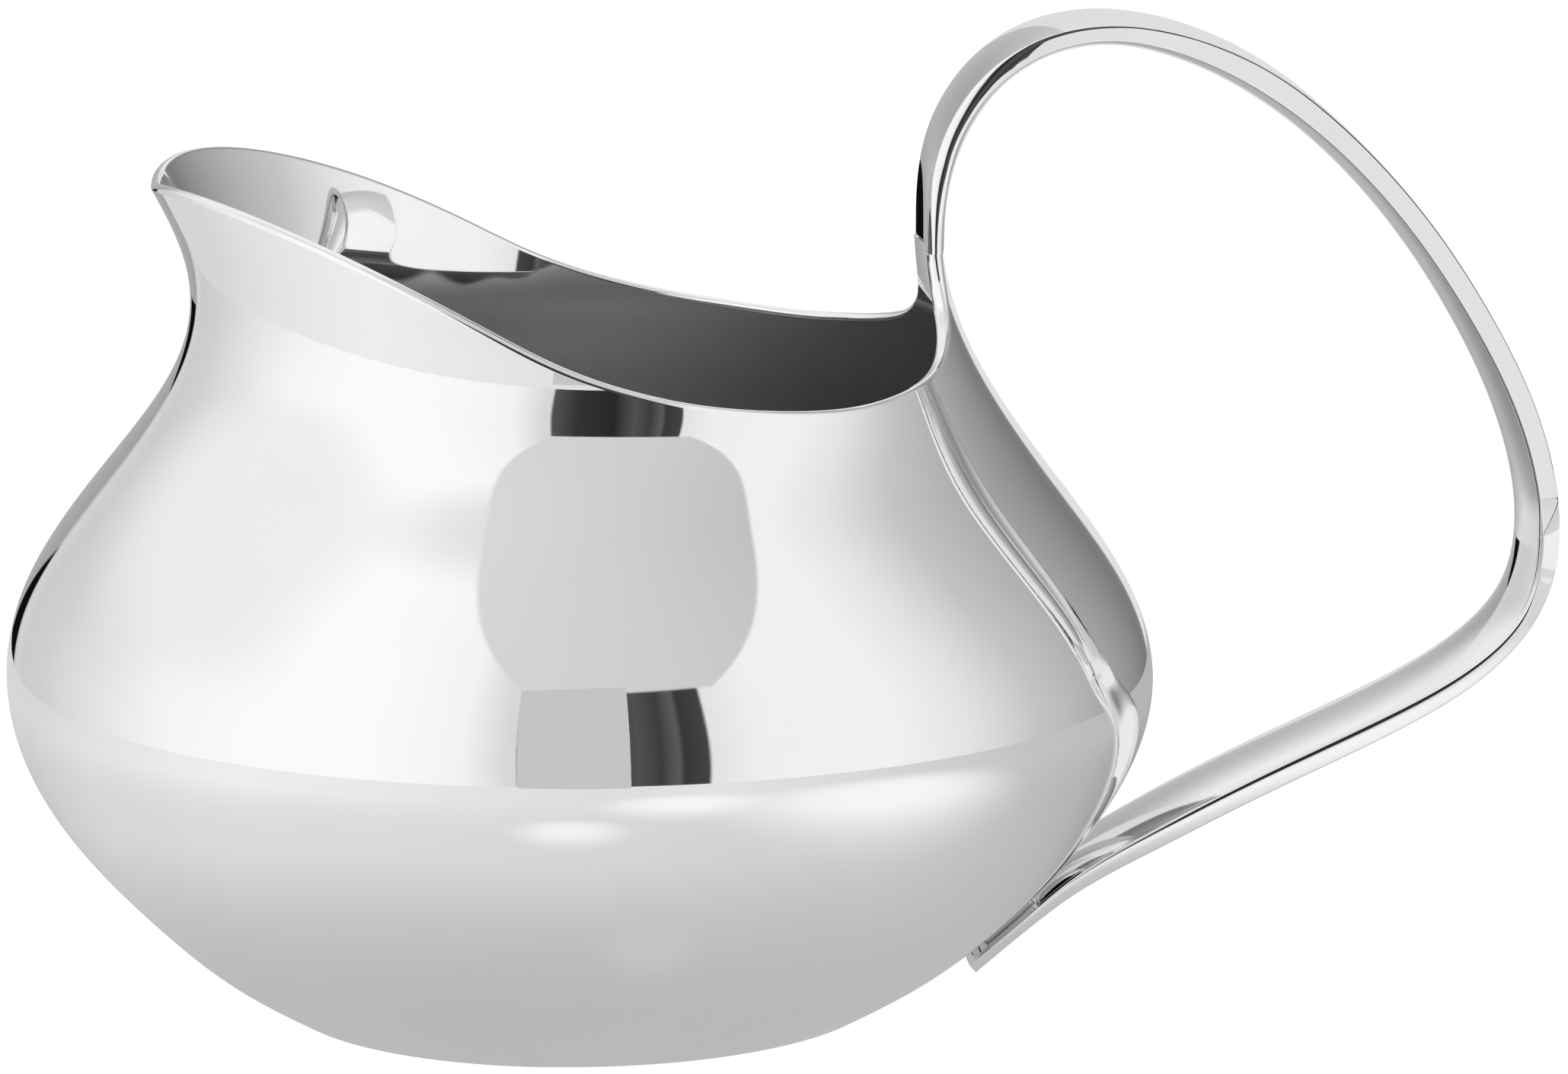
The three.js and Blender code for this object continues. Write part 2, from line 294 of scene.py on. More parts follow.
def bowl_mesh():
    """Lower half of the body: base, outside up to the seam, inside down, floor."""
    angles = np.linspace(0, 2 * math.pi, BOWL_COLUMNS, endpoint=False)
    a, z = np.meshgrid(angles, SEAM_Z * np.linspace(0, 1, BOWL_ROWS) ** BOWL_CROWDING)
    outside = body_point(a, z)
    normal = body_normal(a, z)
    inside = outside - normal * WALL
    inside[..., 2] = np.where(z >= SEAM_Z, SEAM_Z, np.maximum(inside[..., 2], WALL))
    floor_edge = inside[0] * [1, 1, 0] + [0, 0, WALL]
    base = [*shrink(outside[0], BASE_CENTRE, FLAT_RINGS[::-1]), outside[0]]
    floor = shrink(floor_edge, FLOOR_CENTRE, [0.995, *FLAT_RINGS])
    rings = [*base, *outside, *inside[::-1], *floor]
    down = np.tile([0, 0, -1.0], (BOWL_COLUMNS, 1))
    ring_normals = [*[down] * len(base), *normal, *-normal[::-1], *[-down] * len(floor)]
    points = np.vstack([*rings, BASE_CENTRE, FLOOR_CENTRE])
    normals = np.vstack([*ring_normals, [0, 0, -1], [0, 0, 1]])
    satin_and_shade = satin_and_shade_inside(points)
    satin_and_shade[:(len(base) + len(outside) + 1) * BOWL_COLUMNS] = 0
    satin_and_shade[-2] = 0
    faces = grid_faces(len(rings), BOWL_COLUMNS) + centre_faces(len(rings), BOWL_COLUMNS)
    return make_mesh("lower_bowl_shell", points, faces, normals, satin_and_shade)


def centre_faces(rings, columns):
    """Triangles from the first ring and the last ring to the two centres after them."""
    centre = rings * columns
    last_ring = (rings - 1) * columns
    faces = []
    for c in range(columns):
        d = (c + 1) % columns
        faces.append((centre, d, c))
        faces.append((centre + 1, last_ring + c, last_ring + d))
    return faces


rim_angle = Spline(RIM[:, 0], RIM[:, 1])
rim_height = Spline(RIM[:, 0], RIM[:, 2])


def rim_at(s):
    """Angle and height of the last full-thickness point below the rounded edge."""
    t = np.maximum(np.abs(s), CORNER)
    nudge = 0.002
    before = np.maximum(t - nudge, CORNER)
    arc = (rim_angle(t + nudge) - rim_angle(before)) * RIM_RADIUS
    rise = rim_height(t + nudge) - rim_height(before)
    length = np.hypot(arc, rise)
    edge = edge_round(t, rim_height(t))
    angle = rim_angle(t) + edge * rise / length / RIM_RADIUS
    height = rim_height(t) - edge * arc / length
    corner_angle = TONGUE_HALF_ANGLE - ROOT_ROUND / RIM_RADIUS
    angle = np.where(np.abs(s) < CORNER, np.abs(s) * corner_angle / CORNER, angle)
    height = np.where(np.abs(s) <= CORNER + TINY, TONGUE_TOP, height)
    return np.sign(s) * angle, height


def edge_round(t, z):
    near_handle = (1 - smooth(t, 0.5, 0.9)) * smooth(z, 57, 64)
    return RIM_ROUND + (ROOT_ROUND - RIM_ROUND) * near_handle


def rim_columns():
    """Columns round the rim, closest along the top of the tongue and the rise to it."""
    tongue = np.linspace(0, CORNER, 14)[1:-1]
    fillet = np.linspace(CORNER, FILLET_END, 90)
    side = np.linspace(FILLET_END, math.pi, 110)[1:-1]
    half = np.concatenate([tongue, fillet, side])
    return np.concatenate([-half[::-1], [0], half, [math.pi]])


def upper_mesh():
    """Upper half: outside from the seam up, round the rim's edge, and down the inside."""
    s = rim_columns()
    angle_top, z_top = rim_at(s)
    v = np.linspace(0, 1, UPPER_ROWS)[:, None]
    angle = s + (angle_top - s) * smooth(v, 0, 1)
    z = SEAM_Z + (z_top - SEAM_Z) * v
    outside = body_point(angle, z)
    normal = body_normal(angle, z)
    wall = wall_at(angle, z)
    inside = outside - normal * wall[..., None]
    inside[0, :, 2] = SEAM_Z
    lip, lip_normal = lip_rows(s, outside[-1], normal[-1], wall[-1])
    rows = np.concatenate([outside, lip, inside[::-1]])
    normals = np.concatenate([normal, lip_normal, -normal[::-1]])
    faces = grid_faces(len(rows), len(s), close_rows=True)
    satin_and_shade = np.zeros(rows.shape[:2])
    satin_and_shade[-len(inside):] = satin_and_shade_inside(inside[::-1])
    points = rows.reshape(-1, 3)
    return make_mesh("upper_body_shell", points, faces, normals.reshape(-1, 3), satin_and_shade.ravel())


def rim_direction(s, top):
    """Unit vectors along the rim; at the tongue's corners they follow the side edge."""
    along = unit(np.roll(top, -1, 0) - np.roll(top, 1, 0))
    for i in np.nonzero(np.abs(np.abs(s) - CORNER) < TINY)[0]:
        outer = i + 1 if s[i] > 0 else i - 1
        step = top[outer] - top[i]
        along[i] = unit(step if s[i] > 0 else -step)
    return along


def lip_rows(s, top, normal, wall):
    """Rounded edge between the outer and the inner surface along the rim."""
    out = unit(np.cross(normal, rim_direction(s, top)))
    points_down = out[:, 2:3] < -0.2
    out *= np.where(points_down, -1, 1)
    radius = edge_round(np.abs(s), top[:, 2])[:, None]
    flat = (np.abs(s) < CORNER - TINY)[:, None]
    depth = wall[:, None]
    points, normals = [], []
    for side in (0, 1):
        for k in range(LIP_STEPS):
            turn = math.pi / 2 * (k / (LIP_STEPS - 1)) + side * math.pi / 2
            across = -radius if side == 0 else -(depth - radius)
            round_normal = normal * math.cos(turn) + out * math.sin(turn)
            rounded = top + normal * (across + radius * math.cos(turn)) + out * radius * math.sin(turn)
            level = top - normal * depth * (side * LIP_STEPS + k) / (2 * LIP_STEPS - 1)
            points.append(np.where(flat, level, rounded))
            normals.append(np.where(flat, [0, 0, 1.0], round_normal))
    return np.array(points), np.array(normals)


# ---------------------------------------------------------------- handle
# Places along the handle are given by s, the share of its length from the root to the tip.
chords = np.hypot(*np.diff(HANDLE[:, :2], axis=0).T)
lengths = np.concatenate([[0], np.cumsum(chords)])
HANDLE_LENGTH = lengths[-1]
path_x, path_z, side_depth, dome, crown = [Spline(lengths / HANDLE_LENGTH, c) for c in HANDLE.T]


def handle_frame(s):
    """Place and inward direction (towards the hole) of the outer face at s."""
    nudge = 0.0005
    dx = path_x(s + nudge) - path_x(s - nudge)
    dz = path_z(s + nudge) - path_z(s - nudge)
    size = np.hypot(dx, dz)
    return np.array([path_x(s), 0, path_z(s)]), np.array([dz / size, 0, -dx / size])


def root_at(s):
    """1 at the very root of the handle, 0 from where its section is that of a strap."""
    return 1 - smooth(s, 0, 0.05)


def half_width_at(s):
    return STRAP_HALF_WIDTH + (TIP_HALF_WIDTH - STRAP_HALF_WIDTH) * smooth(s, 0.86, 1)


def handle_points(s, outline):
    """Places in the jug of an outline given by its distances across and into the strap."""
    place, inward = handle_frame(s)
    u, v = outline[:, :1], outline[:, 1:]
    bow = ROOT_BOW * (1 - smooth(s, 0, 0.09))
    v = v - bow * (u / STRAP_HALF_WIDTH) ** 2
    return place + np.array([0, -1.0, 0]) * u + inward * v


def hinge(x, softness):
    """0 for negative x, x for positive x, with a soft bend between them."""
    return (np.sqrt(x * x + softness ** 2) + x - softness) / 2


def side_outline(s, v):
    """Half of the strap's width at each depth v: leaning sides, or a round edge at the root."""
    w, depth, root = half_width_at(s), side_depth(s), root_at(s)
    waist, lean_out, lean_in, softness = [np.interp(s, SIDES[:, 0], c) for c in SIDES.T[1:5]]
    middle = waist * depth
    leaning = w - lean_out * hinge(middle - v, softness) - lean_in * hinge(v - middle, softness)
    radius = depth / 2
    round_side = w - radius + np.sqrt(np.maximum(radius ** 2 - (v - radius) ** 2, 0))
    return leaning + (round_side - leaning) * root + ROOT_TILT * root * (v - radius)


def half_section(s):
    """Half of the section, from the middle of the outer face to the middle of the dome."""
    depth = side_depth(s)
    v = np.linspace(0, depth, SIDE_POINTS)
    side = side_outline(s, v)
    face = np.linspace(0, side[0], SIDE_POINTS)
    turn = np.linspace(math.pi / 2, 0, DOME_POINTS)[::-1]
    fullness = 1 - FULLER_DOME * smooth(s, 0.6, 0.7) * (1 - smooth(s, 0.92, 0.98))
    rise = dome(s) * np.maximum(0, 1 - np.cos(turn) ** 2) ** fullness
    outer = np.stack([face, -crown(s) * (1 - (face / side[0]) ** 2)], 1)
    edge = np.stack([side, v], 1)[1:]
    inner = np.stack([side[-1] * np.cos(turn), depth + rise], 1)[1:]
    rounding = np.interp(s, SIDES[:, 0], SIDES[:, 5])
    return smooth_outline(np.concatenate([outer, edge, inner]), rounding)


def smooth_outline(half, rounding):
    """Rounds all corners of a symmetrical outline given by one half of it."""
    count = OUTLINE_POINTS
    loop = np.concatenate([half, half[-2:0:-1] * [-1, 1], half[:1]])
    distance = np.concatenate([[0], np.cumsum(np.linalg.norm(np.diff(loop, axis=0), axis=1))])
    even = np.linspace(0, distance[-1], count, endpoint=False)
    line = np.interp(even, distance, loop[:, 0]) + 1j * np.interp(even, distance, loop[:, 1])
    waves = 2 * math.pi * np.fft.fftfreq(count, distance[-1] / count)
    line = np.fft.ifft(np.fft.fft(line) * np.exp(-(waves * rounding) ** 2 / 2))
    line = line[:count // 2 + 1]
    return np.stack([line.real, line.imag], 1)


def respace(outline, count):
    """Points along an outline, closer together where it bends."""
    step = np.diff(outline, axis=0)
    heading = np.unwrap(np.arctan2(step[:, 1], step[:, 0]))
    bend = np.abs(np.gradient(heading))
    weight = np.concatenate([[0], np.cumsum(np.hypot(*step.T) + BEND_WEIGHT * bend)])
    at = np.interp(np.linspace(0, weight[-1], count), weight, np.arange(len(outline)))
    index = np.arange(len(outline))
    return np.stack([np.interp(at, index, c) for c in outline.T], 1)


def cut_section(s, half_width):
    """The half section on both sides of the line where the inner face is half_width wide."""
    half = half_section(s)
    inner = np.nonzero(half[:, 1] > side_depth(s) * INNER_SIDE)[0]
    first = inner[half[inner, 0] < half_width][0]
    k = (half[first - 1, 0] - half_width) / (half[first - 1, 0] - half[first, 0])
    cut = half[first - 1] + (half[first] - half[first - 1]) * k
    return np.vstack([half[:first], cut]), np.vstack([cut, half[first:]])


def groove_at(s):
    return CLOSED_GROOVE + (GROOVE - CLOSED_GROOVE) * (1 - smooth(s, 0.58, 0.66))


def strip_edge(s):
    return half_width_at(s) - LAND - ROOT_LAND * root_at(s)


def mirror_ring(half):
    return np.concatenate([half, half[::-1] * [-1, 1]])


def channel_ring(s):
    """The strap's outer face, sides and lands, and the trough between them."""
    visible, _ = cut_section(s, strip_edge(s))
    visible = respace(visible, CHANNEL_POINTS)
    edge = visible[-1]
    floor = min(CHANNEL_FLOOR, edge[1] - STRIP_THICKNESS)
    trough = [edge - [0, TOUCH], [edge[0], floor], [TROUGH_MIDDLE, floor]]
    return mirror_ring(np.vstack([visible[1:], trough]))


def strip_ring(s):
    """The domed strip that lies in the channel, a groove's width from its lands."""
    _, top = cut_section(s, strip_edge(s) - groove_at(s))
    top = respace(top, STRIP_POINTS)[:-1]
    under = top[::-1] - [0, STRIP_THICKNESS]
    under[-1] += [0, TOUCH]
    return mirror_ring(np.vstack([under, [top[0] - [0, TOUCH]], top]))


def end_ring(_):
    return mirror_ring(respace(half_section(1.0), PLATE_POINTS)[1:-1])


def sweep(name, ring_at, start, end, count):
    """Sweeps a ring along the handle, with normals across its rows for smooth reflections."""
    rings = np.array([handle_points(s, ring_at(s)) for s in np.linspace(start, end, count)])
    around = np.roll(rings, -1, 1) - np.roll(rings, 1, 1)
    forward = np.gradient(rings, axis=0)
    normals = np.cross(around, forward).reshape(-1, 3)
    return make_mesh(name, rings.reshape(-1, 3), tube_faces(*rings.shape[:2]), normals)


def depth_of_body(s, u):
    """Depth, from the handle's outer face, at which the body's surface is met."""
    place, inward = handle_frame(s)
    near = float(side_depth(s))
    far = near + 6
    for _ in range(30):
        middle = (near + far) / 2
        p = place + np.array([0, -u, 0]) + inward * middle
        z = max(p[2], 0)
        centre, reach = across_at(z)
        if ((p[0] - centre) / reach) ** 2 + (p[1] / half_width(z)) ** 2 < 1:
            far = middle
        else:
            near = middle
    return near


def pad_mesh():
    """Solder between the strap's tip and the belly: from the dome down to the body."""
    rings = []
    for s in np.linspace(PAD_FROM, PAD_TO, PAD_ROWS):
        across = np.linspace(-1, 1, PAD_POINTS) * PAD_HALF_WIDTH
        rise = dome(s) * (1 - (across / half_width_at(s)) ** 2)
        low = np.stack([across, side_depth(s) + rise - TOUCH], 1)
        high = np.stack([across, [depth_of_body(s, u) + TOUCH for u in across]], 1)[::-1]
        place, inward = handle_frame(s)
        outline = np.concatenate([low, high])
        rings.append(place + outline[:, :1] * [0, -1.0, 0] + outline[:, 1:] * inward)
    faces = tube_faces(len(rings), len(rings[0]))
    return make_mesh("foot_solder_pad", np.concatenate(rings), faces, None)


# ---------------------------------------------------------------- materials
SATIN_ROUGHNESS = 0.42
SATIN_PAINTED_SHADE = 0.33            # share of the colour that the painted shade leaves on the satin inside, next to the polished, and the share of the colour of the cloudy parts of the polish
CLOUDED = 0.975               # and the cloudy parts of the polish
CLOUD_SCALE = 70.0            # noise per metre of the jug
HAIRLINES = (900, 900, 60)    # stretch of the noise that makes the scratches
HAIRLINES_TURN = (0.5, 0.3, 0.2)
HAIRLINE_DEPTH = 0.00001      # metres


def node(tree, kind, **values):
    made = tree.nodes.new(kind)
    for key, value in values.items():
        if key in made.inputs:
            made.inputs[key].default_value = value
        else:
            setattr(made, key, value)
    return made


def map_range(tree, value, low, high, to_low, to_high):
    made = tree.nodes.new("ShaderNodeMapRange")
    made.inputs["From Min"].default_value = low
    made.inputs["From Max"].default_value = high
    made.inputs["To Min"].default_value = to_low
    made.inputs["To Max"].default_value = to_high
    tree.links.new(value, made.inputs["Value"])
    return made.outputs["Result"]


def metal_roughness(tree, cloud, satin_and_shade, low, high):
    """Cloudy polish between two roughnesses, and matt where the satin begins."""
    total = tree.nodes.new("ShaderNodeMath")
    tree.links.new(map_range(tree, cloud, 0.3, 0.7, low, high), total.inputs[0])
    tree.links.new(map_range(tree, satin_and_shade, 0, FAINT_SATIN, 0, SATIN_ROUGHNESS), total.inputs[1])
    return total.outputs[0]


def metal_colour(tree, cloud, satin_and_shade, colour):
    """The metal's colour, a little darker where it is cloudy, and much darker where it is satin:
    painted shade.
    """
    tint = node(tree, "ShaderNodeValToRGB")
    tint.color_ramp.elements[0].position = 0.25
    tint.color_ramp.elements[0].color = (*[c * CLOUDED for c in colour], 1)
    tint.color_ramp.elements[1].position = 0.75
    tint.color_ramp.elements[1].color = (*colour, 1)
    tree.links.new(cloud, tint.inputs["Fac"])
    # painted shade: the satin inside is darkened in its colour, more towards the handle
    painted_shade_mix = tree.nodes.new("ShaderNodeMix")
    painted_shade_mix.data_type = "RGBA"
    painted_shade_mix.inputs[7].default_value = (*[c * SATIN_PAINTED_SHADE for c in colour], 1)
    tree.links.new(satin_and_shade, painted_shade_mix.inputs["Factor"])
    tree.links.new(tint.outputs["Color"], painted_shade_mix.inputs[6])
    return painted_shade_mix.outputs[2]


def hairlines(tree, place, strength):
    """Fine scratches, as a bump."""
    stretch = node(tree, "ShaderNodeMapping")
    stretch.inputs["Scale"].default_value = HAIRLINES
    stretch.inputs["Rotation"].default_value = HAIRLINES_TURN
    tree.links.new(place, stretch.inputs["Vector"])
    hair = node(tree, "ShaderNodeTexNoise", Scale=6.0, Detail=3.0, Roughness=0.7)
    tree.links.new(stretch.outputs["Vector"], hair.inputs["Vector"])
    bump = node(tree, "ShaderNodeBump", Strength=strength, Distance=HAIRLINE_DEPTH)
    tree.links.new(hair.outputs["Fac"], bump.inputs["Height"])
    return bump.outputs["Normal"]


def polished_metal(name, colour, low, high, scratch):
    """Mirror-polished metal: faint cloudy polish marks, hairlines, and satin with painted shade by
    attribute.
    """
    material = bpy.data.materials.new(name)
    material.use_nodes = True
    tree = material.node_tree
    shader = tree.nodes["Principled BSDF"]
    shader.inputs["Metallic"].default_value = 1.0
    shader.inputs["IOR"].default_value = 1.5
    place = node(tree, "ShaderNodeTexCoord").outputs["Object"]
    noise = node(tree, "ShaderNodeTexNoise", Scale=CLOUD_SCALE, Detail=4.0, Roughness=0.55)
    tree.links.new(place, noise.inputs["Vector"])
    cloud = noise.outputs["Fac"]
    satin_and_shade = node(tree, "ShaderNodeAttribute", attribute_name="satin_and_shade").outputs["Fac"]
    tree.links.new(metal_roughness(tree, cloud, satin_and_shade, low, high), shader.inputs["Roughness"])
    tree.links.new(metal_colour(tree, cloud, satin_and_shade, colour), shader.inputs["Base Color"])
    tree.links.new(hairlines(tree, place, scratch), shader.inputs["Normal"])
    return material


silver = polished_metal("polished_silver", (0.955, 0.953, 0.95), 0.012, 0.035, 0.02)
handle_silver = polished_metal("handle_silver", (0.95, 0.948, 0.945), 0.015, 0.045, 0.03)
strip_silver = polished_metal("strip_silver", (0.945, 0.943, 0.94), 0.02, 0.055, 0.04)
solder = polished_metal("foot_solder", (0.72, 0.715, 0.7), 0.18, 0.36, 0.5)

finish_piece(bowl_mesh(), silver, "body_metal", "lower_bowl")
finish_piece(upper_mesh(), silver, "body_metal", "upper_body")
finish_piece(sweep("handle_channel_strap", channel_ring, 0, 1, STRAP_ROWS), handle_silver,
             "handle_metal", "handle_channel")
finish_piece(sweep("handle_strip", strip_ring, 0.0015, 0.9985, STRAP_ROWS), strip_silver,
             "strip_metal", "handle_closing_strip")
finish_piece(sweep("handle_end_cap", end_ring, 1.0, 1 + END_PLATE / HANDLE_LENGTH, PLATE_ROWS),
             handle_silver, "handle_metal", "handle_end_plate")
finish_piece(pad_mesh(), solder, "solder_metal", "handle_foot_pad")


# ---------------------------------------------------------------- studio
# In degrees: azimuth 0 is the camera's side (-Y) and it grows towards +X, elevation is upwards.
DEGREES = math.degrees(1)
WORLD_STRENGTH = 1.04
TENT = [
    (-180, 0.74), (-168, 0.67), (-155.2, 0.63), (-154.4, 0.83), (-146, 0.80), (-130, 0.82),
    (-105, 0.90), (-85, 0.965), (-60, 0.995), (-38, 0.985), (-22, 0.96), (-14, 0.85),
    (20, 0.89), (30, 0.945), (55, 0.955), (72, 0.90), (92, 0.77), (110, 0.70), (130, 0.60),
    (150, 0.48), (156, 0.50), (157, 0.88), (180, 0.86),
]
PANEL = [(-30, 0.85), (10, 0.815), (50, 0.765)]
GAP = [
    (-12.5, 0.33), (-6, 0.20), (3, 0.16), (8, 0.32), (12, 0.24), (14, 0.33), (15, 0.36),
    (16, 0.22), (21, 0.27),
]
PANEL_EDGE = 29.5             # elevation at which the panel meets the gap below it
TABLE_RADIUS = 200            # mm, as all sizes of the table and the card
# Greys of the table's glow, far from the jug and near it: painted shade near the jug, and darker
# towards the back
TABLE_FAR = [
    (-180, 0.88), (-150, 0.85), (-120, 0.86), (-90, 0.92), (-60, 0.96), (-30, 0.93),
    (0, 0.89), (20, 0.91), (45, 0.87), (80, 0.78), (120, 0.73), (160, 0.70), (180, 0.88),
]
TABLE_NEAR = [
    (-180, 0.64), (-140, 0.76), (-90, 0.86), (-50, 0.88), (0, 0.86), (45, 0.82),
    (90, 0.72), (120, 0.59), (160, 0.57), (180, 0.64),
]
TABLE_PAINTED_SHADOW = 0.74            # painted shadow under the jug
TABLE_PAINTED_HIGHLIGHTS = [               # painted highlights: x, y, radius, blur, grey
    (-5, -78, 9, 12, 0.97), (27, -112, 20, 26, 0.985), (74, -72, 34, 40, 0.985),
    (6, -38, 4, 6, 0.79),
]
CARD_GREY = 0.79
FLOOR_REACH = 3               # metres, as all sizes that follow
SOFT_BOX = 0.6
SOFT_BOX_POWER = 4            # watts
CAMERA_AZIMUTH, CAMERA_ELEVATION = math.radians(-4.5), math.radians(12)
CAMERA_DISTANCE = 0.55
CAMERA_TARGET = np.array([17.5, 0, 39.3]) * MM
VIEW_WIDTH = 0.1311465        # width of the view at the target


def display(grey):
    """Linear light for a grey as it is shown on screen."""
    if grey <= 0.04045:
        return grey / 12.92
    return ((grey + 0.055) / 1.055) ** 2.4


def grey_light(grey):
    light = display(grey)
    return (light, light, light, 1)


class Studio:
    """Builds the light around the jug from patches placed by azimuth and elevation."""

    def __init__(self, tree, vector):
        self.tree = tree
        split = node(tree, "ShaderNodeSeparateXYZ")
        tree.links.new(vector, split.inputs[0])
        x, y, z = split.outputs
        turn = self.math("ARCTAN2", x, self.math("MULTIPLY", y, -1))
        self.azimuth = self.math("MULTIPLY", turn, DEGREES)
        self.elevation = self.math("MULTIPLY", self.math("ARCSINE", z), DEGREES)

    def math(self, operation, a, b=0.0):
        """Sockets or numbers in, socket out."""
        made = self.tree.nodes.new("ShaderNodeMath")
        made.operation = operation
        for socket, value in zip(made.inputs, (a, b)):
            if isinstance(value, (int, float)):
                socket.default_value = value
            else:
                self.tree.links.new(value, socket)
        return made.outputs[0]

    def both(self, a, b):
        return self.math("MULTIPLY", a, b)

    def inverse(self, mask):
        return self.math("SUBTRACT", 1.0, mask)

    def line(self, value, slope, start):
        return self.math("ADD", self.math("MULTIPLY", value, slope), start)

    def step(self, value, edge, blur):
        """0 below the edge, 1 above it, with a soft change over the blur."""
        made = self.tree.nodes.new("ShaderNodeMapRange")
        made.interpolation_type = "SMOOTHSTEP"
        self.tree.links.new(value, made.inputs["Value"])
        made.inputs["From Min"].default_value = edge - blur / 2
        made.inputs["From Max"].default_value = edge + blur / 2
        return made.outputs["Result"]

    def band(self, value, low, high, blur):
        """1 between low and high, 0 outside."""
        return self.both(self.step(value, low, blur), self.inverse(self.step(value, high, blur)))

    def spot(self, vector, x, y, radius, blur):
        """1 within a radius of a place on the table (all in mm), 0 outside."""
        away = node(self.tree, "ShaderNodeVectorMath", operation="DISTANCE")
        self.tree.links.new(vector, away.inputs[0])
        away.inputs[1].default_value = (x * MM, y * MM, 0)
        return self.inverse(self.step(away.outputs["Value"], radius * MM, blur * MM))

    def ramp(self, value, stops):
        """Grey by value: stops are (value, shown grey)."""
        low, high = stops[0][0], stops[-1][0]
        made = self.tree.nodes.new("ShaderNodeValToRGB")
        made.color_ramp.interpolation = "LINEAR"
        elements = made.color_ramp.elements
        while len(elements) < len(stops):
            elements.new(0.5)
        for element, (at, grey) in zip(elements, stops):
            element.position = (at - low) / (high - low)
            element.color = grey_light(grey)
        self.tree.links.new(map_range(self.tree, value, low, high, 0, 1), made.inputs["Fac"])
        return made.outputs["Color"]

    def mix(self, mask, below, above):
        """One light where the mask is 0, the other where it is 1; a number is a shown grey."""
        made = self.tree.nodes.new("ShaderNodeMix")
        made.data_type = "RGBA"
        self.tree.links.new(mask, made.inputs["Factor"])
        for socket, value in ((made.inputs[6], below), (made.inputs[7], above)):
            if isinstance(value, (int, float)):
                socket.default_value = grey_light(value)
            else:
                self.tree.links.new(value, socket)
        return made.outputs[2]


def tent_light(studio):
    """The white tent: greys by azimuth, then its upper left, its top and its upper back."""
    az, el = studio.azimuth, studio.elevation
    light = studio.ramp(az, TENT)
    high_left = studio.both(studio.band(az, -156, -70, 34), studio.step(el, 23, 22))
    light = studio.mix(high_left, light, 0.935)
    light = studio.mix(studio.step(el, 60, 12), light, 0.86)
    behind = studio.step(studio.math("ABSOLUTE", az), 152, 16)
    return studio.mix(studio.both(behind, studio.step(el, 27, 34)), light, 0.95)


def add_panel(studio, light):
    """A grey panel above the camera, wider and further right the higher it reaches."""
    az, el = studio.azimuth, studio.elevation
    above = studio.math("DIVIDE", studio.math("MAXIMUM", studio.math("SUBTRACT", el, 30), 0), 28)
    half = studio.line(above, 24.5, 18)
    centre = studio.line(above, 4, 6)
    across = studio.math("DIVIDE", studio.math("SUBTRACT", az, centre), half)
    shape = studio.both(studio.band(across, -1, 1, 0.05), studio.step(el, PANEL_EDGE, 1))
    return studio.mix(shape, light, studio.ramp(az, PANEL))


def add_gap(studio, light):
    """The dark gap in the tent below that panel, where the camera stands."""
    az, el = studio.azimuth, studio.elevation
    shape = studio.both(studio.band(az, -12.5, 20.5, 0.8), studio.band(el, -60, PANEL_EDGE, 1))
    return studio.mix(shape, light, studio.ramp(az, GAP))


def add_dark_thing(studio, light):
    """A small dark thing standing behind the jug: a triangle above the table's far edge."""
    az, el = studio.azimuth, studio.elevation
    rising = studio.math("SUBTRACT", el, studio.math("MULTIPLY", az, 1.08))
    leaning = studio.math("SUBTRACT", az, studio.math("MULTIPLY", el, 0.1))
    shape = studio.inverse(studio.step(rising, 170.9, 1))
    shape = studio.both(shape, studio.inverse(studio.step(leaning, -155.3, 0.6)))
    shape = studio.both(shape, studio.step(el, -10.5, 0.4))
    return studio.mix(shape, light, 0.05)


def make_world():
    """The light from all sides: a world that the metal reflects."""
    world = bpy.data.worlds.new("studio")
    bpy.context.scene.world = world
    world.use_nodes = True
    tree = world.node_tree
    background = tree.nodes["Background"]
    place = node(tree, "ShaderNodeTexCoord")
    studio = Studio(tree, place.outputs["Generated"])
    light = tent_light(studio)
    for add in (add_panel, add_gap, add_dark_thing):
        light = add(studio, light)
    tree.links.new(light, background.inputs["Color"])
    background.inputs["Strength"].default_value = WORLD_STRENGTH


def sheet(name, corners):
    """One flat face of the studio."""
    mesh = bpy.data.meshes.new(name)
    mesh.from_pydata(corners, [], [tuple(range(len(corners)))])
    made = bpy.data.objects.new(name, mesh)
    bpy.context.scene.collection.objects.link(made)
    return made


def glow_on(thing, name):
    """Gives a thing of the studio a glowing material and returns the glow's node."""
    material = bpy.data.materials.new(name)
    material.use_nodes = True
    tree = material.node_tree
    tree.nodes.clear()
    out = node(tree, "ShaderNodeOutputMaterial")
    glow = node(tree, "ShaderNodeEmission")
    tree.links.new(glow.outputs[0], out.inputs["Surface"])
    thing.data.materials.append(material)
    return tree, glow


def show_in_reflections_only(thing):
    thing.visible_camera = False
    thing.visible_diffuse = False
    thing.visible_shadow = False


def make_floor():
    """A pale floor that the camera sees and the metal doesn't reflect."""
    reach = FLOOR_REACH
    corners = [(-reach, -reach, 0), (reach, -reach, 0), (reach, reach, 0), (-reach, reach, 0)]
    floor = sheet("studio_floor", corners)
    material = bpy.data.materials.new("pale_floor")
    material.use_nodes = True
    shader = material.node_tree.nodes["Principled BSDF"]
    shader.inputs["Base Color"].default_value = (0.6, 0.6, 0.6, 1)
    shader.inputs["Roughness"].default_value = 0.9
    shader.inputs["Specular IOR Level"].default_value = 0.0
    shader.inputs["Emission Color"].default_value = (1, 1, 1, 1)
    shader.inputs["Emission Strength"].default_value = 0.8
    floor.data.materials.append(material)
    floor.visible_glossy = False


